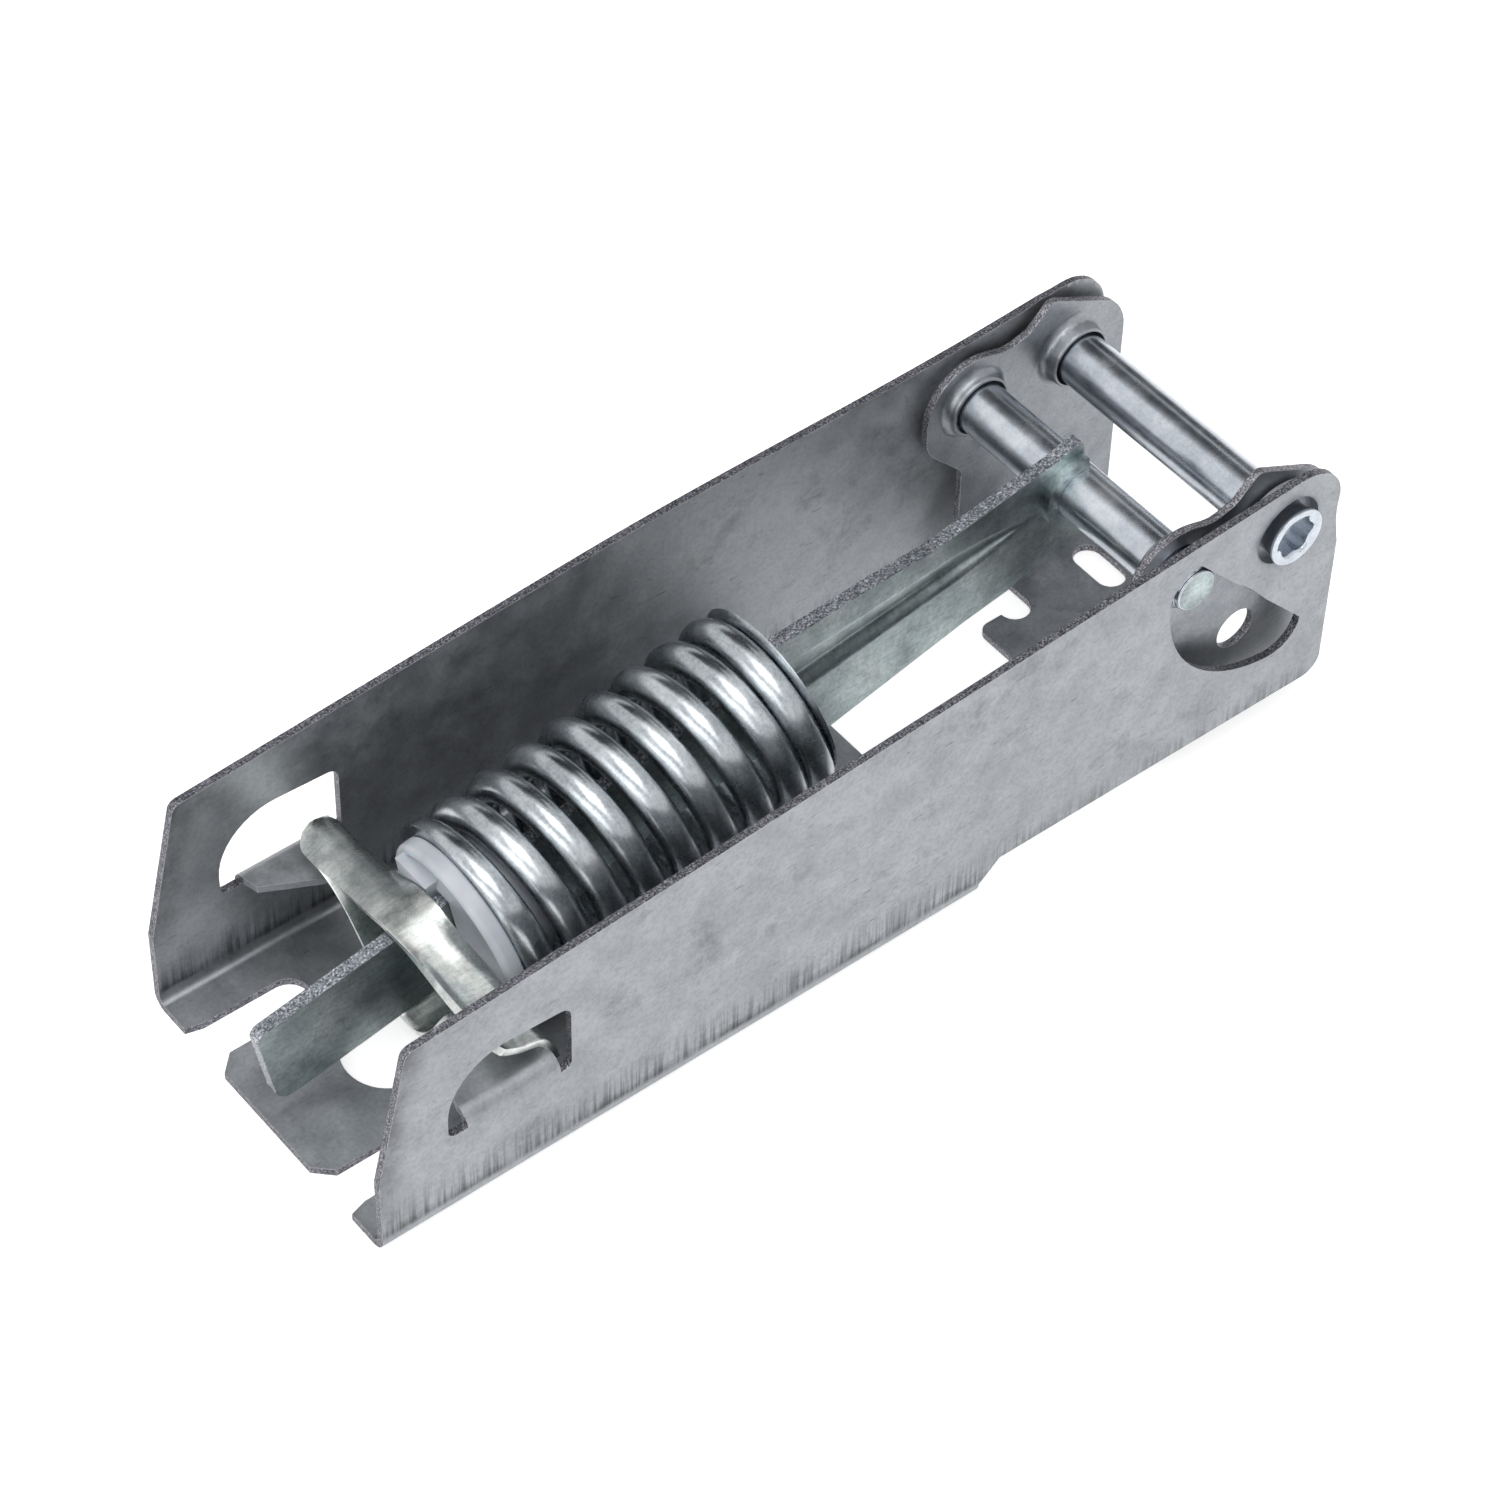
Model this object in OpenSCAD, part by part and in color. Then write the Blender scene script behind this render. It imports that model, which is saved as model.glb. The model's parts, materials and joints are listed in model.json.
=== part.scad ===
// Spring counterbalance hinge of a chest freezer's lid, with the lid closed.
// The origin is the centre of the round fixing hole, on the underside of the base.
// X runs from the closed end to the pivot, Y across the walls and Z up.

/* [Housing] */
// Length of the housing
housing_length = 160.5; // [158:0.5:175]
// Width over the housing's walls
housing_width = 52; // [50:0.5:60]
// Thickness of the housing's sheet
housing_sheet = 1.2; // [1:0.1:1.4]
// Inside radius of the housing's bends
housing_bend = 1.2; // [1:0.1:2]
// Height of the walls at the closed end
back_height = 36.4; // [34:0.2:40]
// Height of the walls at the pivot end
front_height = 47.4; // [46:0.2:52]
// Distance that the closed end leans in at the top
back_lean = 4.95; // [2:0.05:7]
// Height at which the closed end starts to lean
knee_height = 14; // [10:0.5:20]
// Length of the base
base_length = 101.8; // [96:0.2:104]
// Height of the walls' lower edge beyond the base
front_clearance = 5.5; // [4:0.1:8]

/* [Base] */
// Distance from the closed end to the fixing hole
hole_setback = 19.4; // [18:0.1:24]
// Diameter of the fixing hole
hole_diameter = 13.2; // [10:0.1:14]
// Width of the tongue between the open slots
tongue_width = 24.4; // [20:0.2:28]
// Width of an open slot
slot_width = 6.2; // [5:0.1:7]
// Length of an open slot
slot_length = 17; // [12:0.5:20]
// Chamfer on the tongue's corners
tongue_chamfer = 2.5; // [1:0.1:3]

/* [Pivot] */
// Distance from the pivot to the housing's pivot end
pivot_setback = 8.6; // [8:0.1:12]
// Height of the pivot above the underside
pivot_z = 36.7; // [35:0.1:38]
// Distance from the pivot to the strut's pin
crank = 17.5; // [16:0.1:19]
// Angle through which the lid opens
lid_swing = 85; // [70:1:88]
// Diameter of the two pins
pin_diameter = 8; // [7:0.1:8.6]
// Radial clearance of a pin in its hole
pin_fit = 0.05; // [0.02:0.01:0.1]
// Diameter of the cup pressed round the pivot
cup_diameter = 12.6; // [11:0.1:13]
// Depth of the cup
cup_depth = 3; // [2:0.1:4]
// Diameter over the shallow dish round the cup
dish_diameter = 21; // [18:0.1:22]
// Depth of the shallow dish
dish_depth = 0.8; // [0.4:0.1:1]
// Distance that the hollow pin stands out of the walls
pivot_pin_proud = 0.5; // [0.2:0.1:1]
// Wall of the hollow pin
pivot_pin_wall = 0.8; // [0.6:0.1:1.2]
// Radial flare of the hollow pin's ends
pivot_pin_flare = 0.55; // [0.3:0.05:0.8]
// Space from the strut's pin to the round edge of its window
window_margin = 0.9; // [0.6:0.1:1.5]
// Radius of the strut pin's turned ends
pin_end_radius = 3.3; // [2.8:0.1:3.4]
// Depth of the strut pin's ends below the walls' outer faces
pin_end_depth = 0.3; // [0:0.1:0.8]

/* [Lid bracket] */
// Thickness of the bracket's sheet
bracket_sheet = 1.2; // [1:0.1:1.4]
// Running gap between the cups and the bracket
cup_gap = 0.1; // [0.05:0.05:0.3]
// Distance from the pivot to the bracket's straight front edge
bracket_front = 10.4; // [9:0.1:12]
// Distance from the pivot back to the bracket's lower rear edge
bracket_rear = 18.7; // [18:0.1:20]
// Radius of the lobe round the strut's pin
lobe_radius = 8.2; // [7.5:0.1:9]
// Length of the collars on the pivot
pivot_collar = 5.7; // [4:0.1:8]
// Length of the collars on the strut's pin
strut_collar = 3.5; // [2:0.1:5]
// Wall of the collars
collar_wall = 0.8; // [0.6:0.1:1.2]
// Diameter of the screw hole in each side of the bracket
side_hole = 6.5; // [5:0.1:8]
// Distance from the pivot back to the screw hole
side_hole_back = 4.7; // [3:0.1:6]
// Height of the screw hole
side_hole_height = 18.2; // [14:0.1:20]
// Distance from the pivot back to the end of the web's tongue
web_setback = 21.5; // [20:0.1:23]
// Length of the bracket's web
web_length = 25.1; // [22:0.1:27]
// Width of the web's tongue
web_tongue_width = 23.6; // [20:0.2:26]
// Length of the web's tongue
web_tongue_length = 9.2; // [7:0.1:11]
// Radius of the relief at the tongue's root
web_relief = 2.4; // [1:0.1:3]
// Width of the two oval holes in the web
oval_width = 4.6; // [4:0.1:6]
// Length of the two oval holes in the web
oval_length = 9.3; // [7:0.1:11]
// Distance between the centres of the oval holes
oval_spacing = 21.3; // [20:0.1:24]
// Distance from the pivot to the oval holes, away from the spring
oval_ahead = 0.5; // [-1:0.1:1]

/* [Strut] */
// Thickness of the strut
strut_thickness = 2; // [1.5:0.1:2.5]
// Distance from the strut's pin to its free tail end
strut_length = 136.4; // [132:0.2:140]
// Height of the tail above the strut's axis
tail_above = 6.9; // [5.5:0.1:7.2]
// Height of the tail below the strut's axis
tail_below = 8.1; // [7:0.1:8.4]
// Height of the upper shoulder
shoulder_above = 10.7; // [10.2:0.1:12]
// Height of the lower shoulder
shoulder_below = 12.8; // [11:0.1:13]
// Width of the pressed rib at its wide end
rib_width = 7; // [5:0.1:8]
// Height of the pressed rib
rib_height = 1; // [0.6:0.1:1.2]
// Distance from the strut's pin to the narrow end of the rib
rib_start = 9.4; // [8:0.1:14]
// Length of the pressed rib
rib_length = 44; // [30:0.5:44]

/* [Spring] */
// Outer diameter of the spring
spring_diameter = 29; // [28:0.1:30]
// Diameter of the spring's wire
wire_diameter = 4.6; // [4.2:0.1:4.7]
// Length of the spring with the lid closed
spring_length = 51; // [48.5:0.1:53]
// Number of turns, the flat ones at the ends among them
spring_turns = 9; // [7:1:9]

/* [Spring seat] */
// Diameter of the seat's flange
seat_diameter = 25.4; // [24.8:0.1:28]
// Thickness of the flange
seat_flange = 2.7; // [2:0.1:3]
// Length of the boss inside the spring
seat_boss = 8; // [5:0.5:12]
// Space beside the strut in the seat's slot
seat_slot_fit = 0.3; // [0.2:0.05:0.5]

/* [Saddle] */
// Thickness of the saddle's sheet
saddle_sheet = 1.4; // [1:0.1:1.5]
// Width of the saddle's strip, along the strut
saddle_width = 10; // [8:0.1:11]
// Length of the saddle across the housing
saddle_length = 46.6; // [42:0.2:48]
// Distance from the tabs' end to the edge of the saddle's lower strip, on which the seat rests
saddle_lead = 1.7; // [1:0.1:2.5]
// Distance that the saddle's upper strip stands back from the seat
upper_setback = 2; // [0:0.1:3]
// Radius of the corners of the saddle's ears
ear_corner = 3.5; // [1:0.1:5]
// Height of the bearing tabs' upper face
tab_z = 17.5; // [16:0.1:18]
// Distance from the fixing hole to the tabs' bearing end
tab_end_x = 8.9; // [8:0.1:10]
// Length of a tab
tab_length = 14.6; // [12:0.2:16]
// Distance that a tab reaches into the housing, from the wall's outer face
tab_reach = 8.6; // [7:0.1:9]
// Space over the strut in the saddle
saddle_over = 0.5; // [0.3:0.1:1]
// Space under the strut in the saddle, for its swing
saddle_under = 3.6; // [3.5:0.1:4]
// Height of the saddle's window above the tabs
saddle_window_above = 10.8; // [9:0.1:12]
// Distance that the saddle's window reaches behind a tab's tail
saddle_window_rear = 3; // [2:0.1:4]
// Distance that the saddle's window reaches past a tab's bearing end
saddle_window_front = 1.7; // [1:0.1:3]

/* [Hidden] */
$fn = 72;
arc_step = 9;
half_width = housing_width / 2;
wall_inner = half_width - housing_sheet;
back_x = -hole_setback;
front_x = back_x + housing_length;
base_end = back_x + base_length;
bend_outer = housing_bend + housing_sheet;
bend_end = base_end - 3.2;
step_end = base_end + 0.2;
pin_radius = pin_diameter / 2;
pin_hole = pin_radius + pin_fit;
pivot_x = front_x - pivot_setback;
strut_pin_x = pivot_x - crank;

// The saddle rocks on the tabs' ends, a little over and beyond their edge.
tab_gap = 0.1;
hook_gap = 0.2;
fulcrum_x = tab_end_x + hook_gap;
fulcrum_z = tab_z + tab_gap;
tab_bend = 1;
tab_bend_outer = tab_bend + housing_sheet;
strut_tilt = atan2(pivot_z - fulcrum_z, strut_pin_x - fulcrum_x);
fulcrum_distance = norm([pivot_z - fulcrum_z, strut_pin_x - fulcrum_x]);

// The bracket runs between the cups of the two walls.
bracket_outer = half_width - cup_depth - housing_sheet - cup_gap;
bracket_inner = bracket_outer - bracket_sheet;
bracket_bend = 1.2;
bracket_bend_outer = bracket_bend + bracket_sheet;
collar_root = 2.3;
web_rear = pivot_x - web_setback;
web_root = web_rear + web_tongue_length;
web_front = web_rear + web_length;

// Window in which the strut's pin travels: its straight edge stops the lid.
stop_gap = 0.1;
window_radius = crank + pin_radius + window_margin;
window_chord = crank * cos(lid_swing / 2) - pin_end_radius - stop_gap;

// The spring and its seat, measured along the strut from its pin.
spring_inner = spring_diameter / 2 - wire_diameter;
seat_end = fulcrum_distance - saddle_lead;
spring_end = seat_end - seat_flange;
shoulder_x = spring_end - spring_length;
boss_radius = spring_inner - 0.5;

function unit(v) = v / norm(v);
function turned(angle) = angle > 180 ? angle - 360 : angle < -180 ? angle + 360 : angle;

// Points of one corner b between a and c, rounded to radius r.
function corner(a, b, c, r) =
    r == 0 ? [b] :
    let (
        u = unit(a - b),
        v = unit(c - b),
        half = acos(u * v) / 2,
        middle = b + unit(u + v) * r / sin(half),
        p = b + u * r / tan(half) - middle,
        q = b + v * r / tan(half) - middle,
        start = atan2(p.y, p.x),
        swing = turned(atan2(q.y, q.x) - start),
        steps = ceil(abs(swing) / arc_step)
    )
    [for (i = [0:steps]) middle + r * [cos(start + swing * i / steps), sin(start + swing * i / steps)]];

// Outline whose corners are given as [x, y, radius].
function rounded(corners) =
    let (n = len(corners), at = [for (c = corners) [c.x, c.y]])
    [for (i = [0:n - 1]) each corner(at[(i + n - 1) % n], at[i], at[(i + 1) % n], corners[i][2])];

function ease(t) = t <= 0 ? 0 : t >= 1 ? 1 : t * t * (3 - 2 * t);

module both_sides() {
    children();
    mirror([0, 1, 0]) children();
}

// Upright sheet, whose far face lies at y = outer.
module upright(outer, thickness) {
    translate([0, outer, 0]) rotate([90, 0, 0]) linear_extrude(thickness) children();
}

// Bend along X between a flat part below and an upright part at y = outer.
module bend(from_x, to_x, outer, base_z, radius, sheet) {
    size = radius + sheet;
    translate([from_x, outer - size, base_z + size])
        rotate([90, 0, 90])
            linear_extrude(to_x - from_x)
                intersection() {
                    difference() {
                        circle(size);
                        circle(radius);
                    }
                    translate([0, -size]) square(size);
                }
}

// Solid of revolution round a cross axis at x, z, its profile given as radius and depth.
module turned_part(x, z, outer, profile) {
    translate([x, outer, z]) rotate([90, 0, 0]) rotate_extrude() polygon(profile);
}

// Closed skin over a list of rings that have the same number of points.
module skin(rings) {
    n = len(rings[0]);
    last = len(rings) - 1;
    sides = [for (i = [0:last - 1], j = [0:n - 1])
        let (a = i * n + j, b = i * n + (j + 1) % n)
        each [[a, a + n, b], [b, a + n, b + n]]];
    caps = [for (j = [1:n - 2]) each [[0, j, j + 1], [last * n, last * n + j + 1, last * n + j]]];
    polyhedron([for (ring = rings) each ring], concat(sides, caps), convexity = 10);
}

module along_strut() {
    translate([strut_pin_x, 0, pivot_z]) rotate([0, -strut_tilt, 0]) children();
}

// Housing

module wall_outline() {
    polygon(rounded([
        [back_x, bend_outer, 0],
        [bend_end, bend_outer, 0],
        [step_end, front_clearance, 0],
        [front_x, front_clearance, 3],
        [front_x, front_height, 8],
        [back_x + back_lean, back_height, 1.5],
        [back_x, knee_height, 2]
    ]));
}

module pin_window() {
    reach = 2 * window_radius;
    translate([pivot_x, pivot_z]) intersection() {
        union() {
            intersection() {
                circle(window_radius);
                polygon([[0, 0], for (k = [0:2]) reach * [cos(180 + lid_swing * k / 2),
                    sin(180 + lid_swing * k / 2)]]);
            }
            for (k = [0, 1])
                rotate(180 + lid_swing * k) translate([crank, 0]) circle(window_radius - crank);
        }
        rotate(180 + lid_swing / 2) translate([window_chord, -reach]) square(2 * reach);
    }
}

module saddle_window() {
    top = tab_z + saddle_window_above;
    bottom = tab_z - tab_bend_outer;
    rear = tab_end_x - tab_length - saddle_window_rear;
    front = tab_end_x + saddle_window_front;
    slope = 1.1;
    polygon(rounded([[rear, bottom, 1.2], [front, bottom, 1.2], [front, top - slope, 1.8], [rear, top, 9]]));
}

module wall() {
    cup = cup_diameter / 2;
    cup_outer = cup + housing_sheet;
    dish = dish_diameter / 2;
    lip = cup + 0.6;
    lip_round = 0.5;
    floor_round = 0.4;
    floor_depth = cup_depth + housing_sheet;
    dish_floor = dish_depth + housing_sheet;
    difference() {
        union() {
            difference() {
                upright(half_width, housing_sheet) wall_outline();
                translate([pivot_x, half_width + 1, pivot_z]) rotate([90, 0, 0])
                    cylinder(r = dish, h = housing_sheet + 2);
            }
            intersection() {
                turned_part(pivot_x, pivot_z, half_width, [
                    [dish, 0], [lip, dish_depth], [cup, dish_depth + lip_round], [cup, cup_depth],
                    [pin_hole, cup_depth], [pin_hole, floor_depth], [cup_outer - floor_round, floor_depth],
                    [cup_outer, floor_depth - floor_round], [cup_outer, dish_floor + lip_round],
                    [lip + housing_sheet, dish_floor], [dish, housing_sheet]
                ]);
                upright(half_width + 1, floor_depth + 2) wall_outline();
            }
        }
        upright(half_width + 1, housing_sheet + dish_depth + 2) pin_window();
        upright(half_width + 1, housing_sheet + 2) saddle_window();
    }
    bend(back_x, bend_end, half_width, 0, housing_bend, housing_sheet);
    tab();
}

module tab() {
    root = half_width - tab_bend_outer;
    edge = half_width - tab_reach;
    tail = tab_end_x - tab_length;
    bend_z = tab_z - tab_bend_outer;
    nose = 6.3;
    shoulder = 4;
    draft = 0.6;
    translate([0, 0, tab_z - housing_sheet]) linear_extrude(housing_sheet)
        polygon([[tail, root], [tail + draft, edge + shoulder], [tab_end_x - nose, edge], [tab_end_x, edge],
            [tab_end_x, root]]);
    translate([tail, root, bend_z])
        rotate([90, 0, 90])
            linear_extrude(tab_length)
                intersection() {
                    difference() {
                        circle(tab_bend_outer);
                        circle(tab_bend);
                    }
                    square(tab_bend_outer);
                }
}

module base() {
    flat = half_width - bend_outer;
    tip = tongue_width / 2;
    slot_radius = slot_width / 2;
    slot_chamfer = 1;
    mouth = tip + slot_width + slot_chamfer;
    linear_extrude(housing_sheet) difference() {
        translate([back_x, -flat]) square([base_length, 2 * flat]);
        for (side = [-1, 1]) {
            slot_y = side * (tip + slot_radius);
            translate([back_x + slot_length - slot_radius, slot_y]) circle(slot_radius);
            translate([back_x - 1, slot_y - slot_radius]) square([slot_length - slot_radius + 1, slot_width]);
            polygon([[back_x - 1, side * (tip - tongue_chamfer - 1)], [back_x + tongue_chamfer, side * tip],
                [back_x + tongue_chamfer, side * (tip + slot_width)], [back_x - 1, side * mouth]]);
        }
        circle(hole_diameter / 2);
    }
}

module housing() {
    color("silver") {
        base();
        both_sides() wall();
    }
}

// Lid bracket

module bracket_outline() {
    low = bracket_bend_outer;
    translate([pivot_x, 0]) polygon(rounded([
        [-bracket_rear, low, 0],
        [bracket_front, low, 0],
        [bracket_front, pivot_z + 3.6, 8],
        [-3.7, pivot_z + 10.8, 1.6],
        [-7.6, pivot_z + 7, 2],
        [-11.6, pivot_z + 6, 5],
        [-crank - lobe_radius, pivot_z + lobe_radius + 2, lobe_radius],
        [-crank - lobe_radius, pivot_z - lobe_radius + 2.6, lobe_radius - 2],
        [-bracket_rear, pivot_z - 13, 1.5]
    ]));
}

module collar(x, length) {
    root = pin_radius + collar_root + 0.8;
    tip = pin_hole + collar_wall;
    draw = 0.9;
    turned_part(x, pivot_z, bracket_outer, [
        [pin_hole + draw, 0], [root, 0], [root, bracket_sheet], [tip + draw, bracket_sheet + 0.6],
        [tip + 0.2, bracket_sheet + 1.6], [tip, bracket_sheet + length], [pin_hole, bracket_sheet + length],
        [pin_hole, draw]
    ]);
}

module bracket_side() {
    difference() {
        upright(bracket_outer, bracket_sheet) bracket_outline();
        for (x = [pivot_x, strut_pin_x])
            translate([x, bracket_outer + 1, pivot_z]) rotate([90, 0, 0])
                cylinder(r = pin_radius + collar_root, h = bracket_sheet + 2);
        translate([pivot_x - side_hole_back, bracket_outer + 1, side_hole_height]) rotate([90, 0, 0])
            cylinder(d = side_hole, h = bracket_sheet + 2);
    }
    collar(pivot_x, pivot_collar);
    collar(strut_pin_x, strut_collar);
    bend(web_root, web_front, bracket_outer, 0, bracket_bend, bracket_sheet);
}

module bracket_web() {
    flat = bracket_outer - bracket_bend_outer;
    tip = web_tongue_width / 2;
    straight = (oval_length - oval_width) / 2;
    tongue_corner = 1.6;
    linear_extrude(bracket_sheet) difference() {
        polygon(rounded([
            [web_rear, -tip, tongue_corner], [web_root, -tip, 0], [web_root, -flat, 0], [web_front, -flat, 0],
            [web_front, flat, 0], [web_root, flat, 0], [web_root, tip, 0], [web_rear, tip, tongue_corner]
        ]));
        for (side = [-1, 1]) {
            translate([web_root - web_relief, side * tip]) circle(web_relief);
            translate([pivot_x + oval_ahead, side * oval_spacing / 2]) {
                for (end = [-1, 1])
                    translate([0, end * straight]) circle(oval_width / 2);
                square([oval_width, 2 * straight], center = true);
            }
        }
    }
}

module lid_bracket() {
    color("slategray") {
        bracket_web();
        both_sides() bracket_side();
    }
}

// Pins

module pivot_pin() {
    half = half_width + pivot_pin_proud;
    bore = pin_radius - pivot_pin_wall;
    flare = pin_radius + pivot_pin_flare;
    rim = 0.5;
    cone = 1.8;
    mouth = 0.6;
    near = [[bore, mouth], [bore + mouth / 2, 0], [flare, 0], [flare, rim], [pin_radius, cone]];
    color("gainsboro") turned_part(pivot_x, pivot_z, half,
        concat(near, [for (i = [4:-1:0]) [near[i].x, 2 * half - near[i].y]]));
}

module strut_pin() {
    half = half_width - pin_end_depth;
    neck = half - wall_inner + 0.1;
    bevel = 0.2;
    cone = 0.7;
    near = [[0, 0], [pin_end_radius - bevel, 0], [pin_end_radius, bevel], [pin_end_radius, neck],
        [pin_radius, neck + cone]];
    color("gainsboro") turned_part(strut_pin_x, pivot_z, half,
        concat(near, [for (i = [4:-1:0]) [near[i].x, 2 * half - near[i].y]]));
}

// Strut, drawn along its own axis with its pin at the origin

module strut_outline() {
    polygon(rounded([
        [2.3, 8.2, 0.8],
        [-2.5, 7.5, 2],
        [-0.46 * shoulder_x, 7.4, 10],
        [-0.66 * shoulder_x, 8.9, 10],
        [-shoulder_x, shoulder_above, 0.5],
        [-shoulder_x, tail_above, 0.4],
        [-strut_length, tail_above, 1.5],
        [-strut_length, -tail_below, 2.5],
        [-shoulder_x, -tail_below, 0.4],
        [-shoulder_x, -shoulder_below, 0.5],
        [-0.4 * shoulder_x, -11, 4],
        [-0.25 * shoulder_x, -11, 3],
        [-7.6, -9.9, 3],
        [1.2, -9.2, 1]
    ]));
}

// Rib pressed out of one face: the flat side of a slim cone.
module rib(near_width, far_width, height) {
    near_r = (near_width * near_width / 4 + height * height) / (2 * height);
    far_h = height * far_width / near_width;
    far_r = (far_width * far_width / 4 + far_h * far_h) / (2 * far_h);
    drop = (near_r - height) - (far_r - far_h);
    intersection() {
        translate([0, near_r - height, 0]) rotate([atan2(drop, rib_length), 0, 0])
            cylinder(r1 = near_r, r2 = far_r, h = norm([rib_length, drop]));
        translate([-near_width, -height - 1, 0]) cube([2 * near_width, height + 1.6, rib_length]);
    }
}

module strut() {
    half = strut_thickness / 2;
    coin = 1.2;
    cradle = pin_radius + 2;
    mouth = 1.8 * pin_hole;
    rib_rise = 0.6;
    rib_taper = 0.45;
    color("darkslategray") along_strut() difference() {
        union() {
            upright(half, strut_thickness) strut_outline();
            intersection() {
                translate([0, half, 0]) rotate([90, 0, 0]) cylinder(r = cradle, h = strut_thickness + coin);
                translate([2 - 2 * cradle, -cradle, -cradle]) cube(2 * cradle);
            }
            translate([-rib_start, -half, rib_rise]) rotate([0, -90, 0])
                rib(rib_width * rib_taper, rib_width, rib_height);
        }
        translate([0, half + 1, 0]) rotate([90, 0, 0]) cylinder(r = pin_hole, h = strut_thickness + coin + 2);
        translate([0, -pin_radius, -mouth / 2]) cube([2 * pin_radius, 2 * pin_radius, mouth]);
    }
}

// Spring: one wire, whose end turns lie nearly flat

coil_rings = 8;
wire_sides = 6;
end_gap = 0.5;
coil_radius = (spring_diameter - wire_diameter) / 2 * 1.04;
wire_radius = wire_diameter / 2;
end_pitch = wire_diameter + end_gap;
open_pitch = (spring_length - wire_diameter - 2 * end_pitch) / (spring_turns - 2);

function coil_rise(turn) =
    let (before = min(turn, 1), after = max(turn - spring_turns + 1, 0))
    before * end_pitch + after * end_pitch + (turn - before - after) * open_pitch;
function coil_middle(turn) = [
    -spring_end + wire_radius + coil_rise(turn),
    coil_radius * sin(360 * turn),
    coil_radius * cos(360 * turn)
];
function coil_ring(turn) =
    let (middle = coil_middle(turn), out = [0, sin(360 * turn), cos(360 * turn)])
    [for (k = [0:wire_sides - 1])
        let (a = 360 * k / wire_sides) middle + wire_radius * (cos(a) * out + [sin(a), 0, 0])];

coil_points = [for (i = [0:spring_turns * coil_rings]) coil_ring(i / coil_rings)];
coil_gap = min([for (i = [0:len(coil_points) - 1 - coil_rings], p = coil_points[i], q = coil_points[i + coil_rings])
    norm(p - q)]);
echo(str("least gap between the spring's turns: ", coil_gap, " mm"));

module spring() {
    color("lightgray") along_strut() skin(coil_points);
}

// Spring seat

module spring_seat() {
    slot = strut_thickness + 2 * seat_slot_fit;
    below = tail_below + saddle_under;
    above = tail_above + saddle_over;
    flange = seat_diameter / 2;
    seat_length = seat_flange + seat_boss;
    rim = 0.6;
    lead_in = 1;
    color("whitesmoke") along_strut() difference() {
        translate([-seat_end, 0, 0]) rotate([0, 90, 0]) rotate_extrude() polygon([
            [0, 0], [flange - rim, 0], [flange, rim], [flange, seat_flange], [boss_radius, seat_flange],
            [boss_radius, seat_length - lead_in], [boss_radius - lead_in, seat_length], [0, seat_length]
        ]);
        translate([-seat_end - 1, -slot / 2, -below]) cube([seat_length + 2, slot, below + above]);
    }
}

// Saddle: a strip across the housing, slit and spread over and under the strut

ear_start = half_width - tab_reach - 0.6;
band_start = 11;
over_drop = 3.6;
under_end = 0.2;
strip_points = 9;

// Curve through given points, t from 0 to 1.
function curve(points, t) =
    let (
        n = len(points) - 1,
        i = min(floor(t * n), n - 1),
        f = t * n - i,
        a = points[max(i - 1, 0)],
        b = points[i],
        c = points[i + 1],
        d = points[min(i + 2, n)]
    )
    b + f * ((c - a) / 2 + f * (a - 2.5 * b + 2 * c - d / 2 + f * (1.5 * (b - c) + (d - a) / 2)));

// Underside of an ear from its raised tail to the hook behind the tab, from the fulcrum.
ear_curve = [[-saddle_width + 1.4, 2.9], [-7, 1.3], [-4.6, 0.15], [-2.8, 0.3], [-1.2, 0.75], [0.1, 0.2],
    [0.5, -1.6], [1.3, -4.8]];

function on_axis(x, h) = [x * cos(strut_tilt) - h * sin(strut_tilt), x * sin(strut_tilt) + h * cos(strut_tilt)];
function lower_x(t) = saddle_lead - saddle_width * (1 - t);
function upper_x(t) = saddle_lead - upper_setback - (saddle_width - upper_setback) * (1 - t);
function over_height(y) = tail_above + saddle_over - over_drop * pow(abs(y) / ear_start, 2);
function under_height(y) =
    let (low = -tail_below - saddle_under - saddle_sheet)
    low + (under_end - low) * (1 - cos(180 * pow(min(abs(y) / ear_start, 1), 1.2))) / 2;

function over_point(y, t) =
    let (w = ease((abs(y) - band_start) / (ear_start - band_start)))
    (1 - w) * on_axis(upper_x(t), over_height(y)) + w * curve(ear_curve, t);
function under_point(y, t) = on_axis(lower_x(t), under_height(y));

// Share of the strip's width that the round corner of an ear takes off its tail at y.
function corner_cut(y) =
    let (into = max(abs(y) - saddle_length / 2 + ear_corner, 0))
    (ear_corner - sqrt(ear_corner * ear_corner - into * into)) / saddle_width;

// Ring of a strip at y: its underside, and its upper side one sheet above.
function thickened(line, y) =
    let (
        n = len(line) - 1,
        above = [for (i = [0:n])
            let (along = unit(line[min(i + 1, n)] - line[max(i - 1, 0)]))
            line[i] + saddle_sheet * [-along.y, along.x]]
    )
    [for (p = line) [p.x, y, p.y], for (i = [n:-1:0]) [above[i].x, y, above[i].y]];

module saddle() {
    half = saddle_length / 2;
    tips = [for (a = [90:-22.5:22.5]) half - ear_corner * (1 - sin(a))];
    flats = [for (k = [9:-1:-9]) (half - ear_corner) * k / 9];
    ys = concat(tips, flats, [for (i = [3:-1:0]) -tips[i]]);
    under_ys = [for (k = [6:-1:-6]) ear_start * k / 6];
    color("lightgray") translate([fulcrum_x, 0, fulcrum_z]) {
        skin([for (y = ys, cut = corner_cut(y))
            thickened([for (i = [0:strip_points]) over_point(y, cut + (1 - cut) * i / strip_points)], y)]);
        skin([for (y = under_ys) thickened([under_point(y, 0), under_point(y, 1)], y)]);
    }
}

housing();
lid_bracket();
pivot_pin();
strut_pin();
strut();
spring();
spring_seat();
saddle();
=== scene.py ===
import json
from math import atan2, cos, pi, radians, sin

import bmesh
import bpy
from mathutils import Matrix, Vector


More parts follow.
